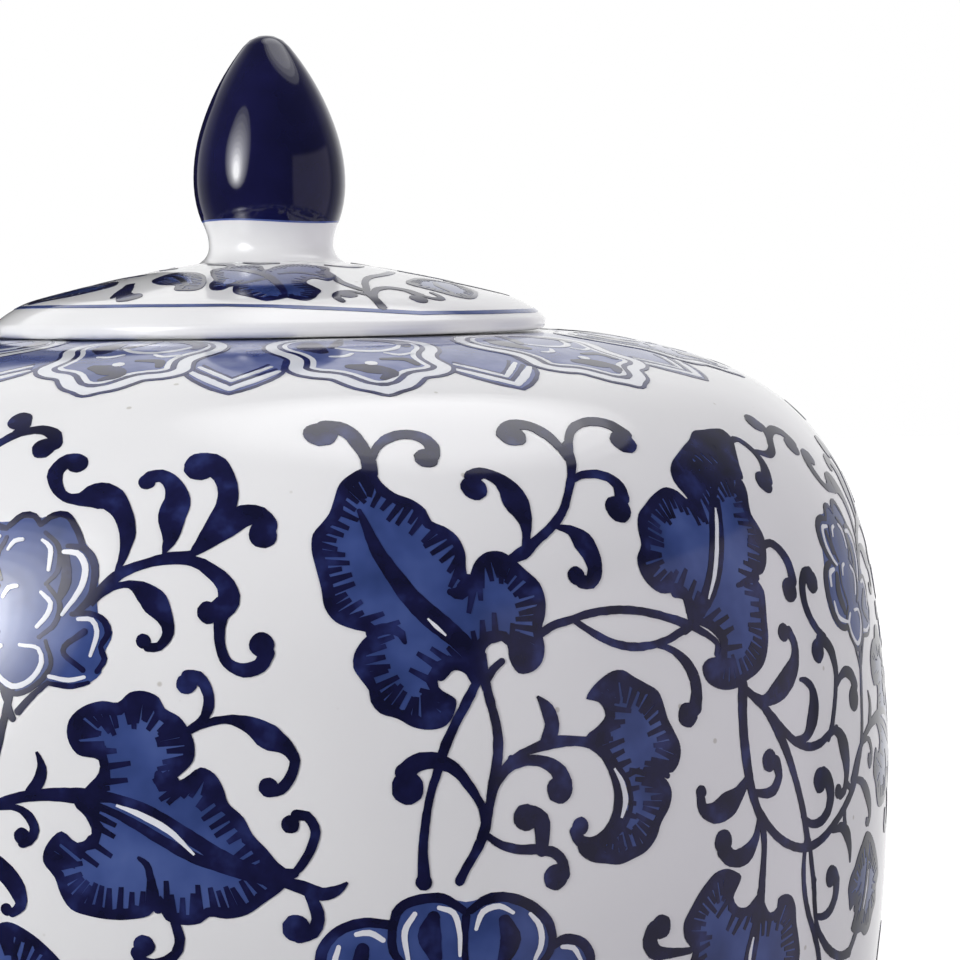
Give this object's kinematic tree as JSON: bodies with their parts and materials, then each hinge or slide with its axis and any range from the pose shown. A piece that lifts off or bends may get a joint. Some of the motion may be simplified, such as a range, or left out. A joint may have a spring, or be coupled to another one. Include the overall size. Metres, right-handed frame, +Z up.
{
  "type": "ginger jar",
  "caption": "Bulbous blue-and-white glazed porcelain ginger jar with scrolling leaf decoration and a low domed lift-off lid with a bud-shaped knob.",
  "frame": {"origin": "centre of the foot, on the plane that the jar stands on", "axes": "+Z up along the axis that the jar and lid are turned about"},
  "size_m": [0.3, 0.3, 0.3507],
  "materials": {
    "white_glaze": "gloss",
    "navy_glaze": "gloss",
    "cobalt_paint": "gloss",
    "bare_foot": "matte"
  },
  "bodies": {
    "jar": {"lower_body": "white_glaze", "upper_body": "white_glaze", "foot_ring": "bare_foot", "mouth_collar": "white_glaze"},
    "lid": {"lid_cover": "white_glaze", "lid_locating_ring": "white_glaze", "lid_knob": "navy_glaze"}
  },
  "joints": [
    {"name": "lid_lift", "type": "slide", "parent": "jar", "child": "lid", "axis": [0, 0, 1], "range_m": [0, 0.15]}
  ]
}
